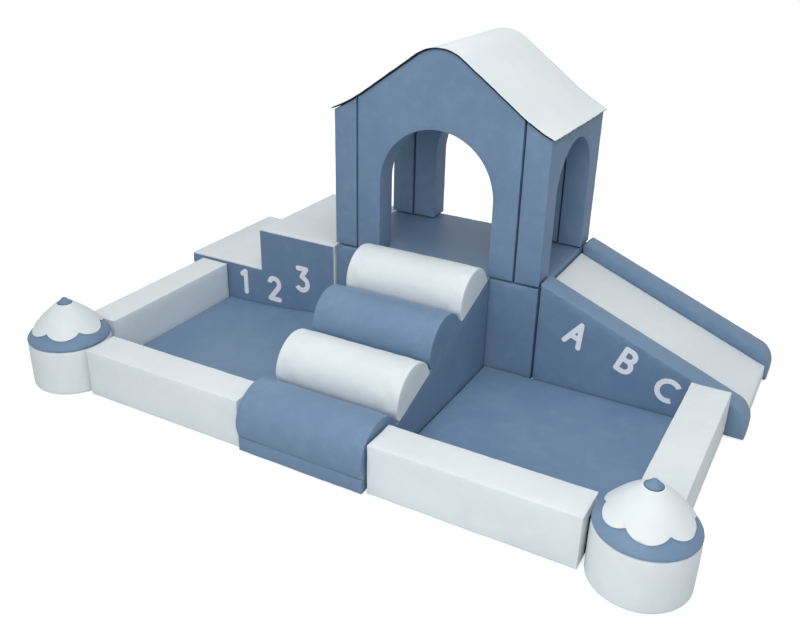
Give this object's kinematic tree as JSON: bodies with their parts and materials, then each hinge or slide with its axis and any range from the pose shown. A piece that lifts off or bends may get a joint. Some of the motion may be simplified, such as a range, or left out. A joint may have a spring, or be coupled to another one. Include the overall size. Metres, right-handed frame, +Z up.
{
  "type": "soft play house",
  "caption": "Foam soft play set: arched house with a curved roof on a platform, with steps, slide, roller climber and walled pits with corner posts.",
  "frame": {"origin": "centre of the platform's underside, on the floor", "axes": "+Z up, +X from the platform towards the slide, +Y towards the back, away from the roller climber"},
  "size_m": [3.306, 2.12, 1.6215],
  "materials": {
    "vinyl_blue": "satin dusty-blue sewn vinyl cover over foam",
    "vinyl_white": "satin off-white sewn vinyl cover over foam",
    "grip_strip": "matt hook-and-loop tape"
  },
  "bodies": {
    "platform": {"platform_block": "vinyl_blue", "strip_front_panel_left_foot": "grip_strip", "strip_front_panel_right_foot": "grip_strip", "strip_rear_panel_left_foot": "grip_strip", "strip_rear_panel_right_foot": "grip_strip", "strip_left_wall_front_foot": "grip_strip", "strip_left_wall_rear_foot": "grip_strip", "strip_right_wall_front_foot": "grip_strip", "strip_right_wall_rear_foot": "grip_strip", "strip_platform_steps": "grip_strip", "strip_platform_slide": "grip_strip", "strip_platform_climber": "grip_strip"},
    "house": {"house_front_panel": "vinyl_blue", "house_rear_panel": "vinyl_blue", "house_left_wall": "vinyl_blue", "house_right_wall": "vinyl_blue", "strip_front_panel_left_side": "grip_strip", "strip_front_panel_right_side": "grip_strip", "strip_rear_panel_left_side": "grip_strip", "strip_rear_panel_right_side": "grip_strip"},
    "roof": {"roof_sheet": "vinyl_white"},
    "steps": {"steps_block": "vinyl_white", "steps_front_panel": "vinyl_blue", "digit_1": "vinyl_white", "digit_2": "vinyl_white", "digit_3": "vinyl_white", "strip_left_wall_steps": "grip_strip"},
    "slide": {"slide_bed": "vinyl_white", "slide_front_rail": "vinyl_blue", "slide_rear_rail": "vinyl_blue", "letter_a": "vinyl_white", "letter_b": "vinyl_white", "letter_c": "vinyl_white", "strip_right_wall_slide": "grip_strip"},
    "climber": {"climb_wedge": "vinyl_blue", "climb_roller_1": "vinyl_blue", "climb_roller_2": "vinyl_white", "climb_roller_3": "vinyl_blue", "climb_roller_4": "vinyl_white", "strip_front_left_wall_climber": "grip_strip", "strip_front_right_wall_climber": "grip_strip"},
    "wall_left": {"pit_wall_left": "vinyl_white", "strip_left_wall_post": "grip_strip"},
    "wall_front_left": {"pit_wall_front_left": "vinyl_white", "strip_front_left_wall_post": "grip_strip"},
    "wall_front_right": {"pit_wall_front_right": "vinyl_white", "strip_front_right_wall_post": "grip_strip"},
    "wall_right": {"pit_wall_right": "vinyl_white", "strip_right_wall_post": "grip_strip"},
    "post_left": {"left_post_drum": "vinyl_white", "left_post_cone": "vinyl_blue", "left_post_cap": "vinyl_white", "left_post_tip": "vinyl_blue"},
    "post_right": {"right_post_drum": "vinyl_white", "right_post_cone": "vinyl_blue", "right_post_cap": "vinyl_white", "right_post_tip": "vinyl_blue"},
    "mat_left": {"floor_mat_left": "vinyl_blue"},
    "mat_right": {"floor_mat_right": "vinyl_blue"}
  },
  "joints": [
    {"name": "house_lift", "type": "slide", "parent": "platform", "child": "house", "axis": [0, 0, 1], "range_m": [0, 0.45]},
    {"name": "roof_lift", "type": "slide", "parent": "house", "child": "roof", "axis": [0, 0, 1], "range_m": [0, 0.45]},
    {"name": "steps_lift", "type": "slide", "parent": "platform", "child": "steps", "axis": [0, 0, 1], "range_m": [0, 0.55]},
    {"name": "slide_lift", "type": "slide", "parent": "platform", "child": "slide", "axis": [0, 0, 1], "range_m": [0, 0.55]},
    {"name": "climber_lift", "type": "slide", "parent": "platform", "child": "climber", "axis": [0, 0, 1], "range_m": [0, 0.55]},
    {"name": "wall_left_lift", "type": "slide", "parent": "platform", "child": "wall_left", "axis": [0, 0, 1], "range_m": [0, 0.5]},
    {"name": "wall_front_left_lift", "type": "slide", "parent": "platform", "child": "wall_front_left", "axis": [0, 0, 1], "range_m": [0, 0.5]},
    {"name": "wall_front_right_lift", "type": "slide", "parent": "platform", "child": "wall_front_right", "axis": [0, 0, 1], "range_m": [0, 0.5]},
    {"name": "wall_right_lift", "type": "slide", "parent": "platform", "child": "wall_right", "axis": [0, 0, 1], "range_m": [0, 0.5]},
    {"name": "post_left_lift", "type": "slide", "parent": "platform", "child": "post_left", "axis": [0, 0, 1], "range_m": [0, 0.3]},
    {"name": "post_right_lift", "type": "slide", "parent": "platform", "child": "post_right", "axis": [0, 0, 1], "range_m": [0, 0.3]},
    {"name": "mat_left_lift", "type": "slide", "parent": "platform", "child": "mat_left", "axis": [0, 0, 1], "range_m": [0, 0.65]},
    {"name": "mat_right_lift", "type": "slide", "parent": "platform", "child": "mat_right", "axis": [0, 0, 1], "range_m": [0, 0.65]}
  ]
}
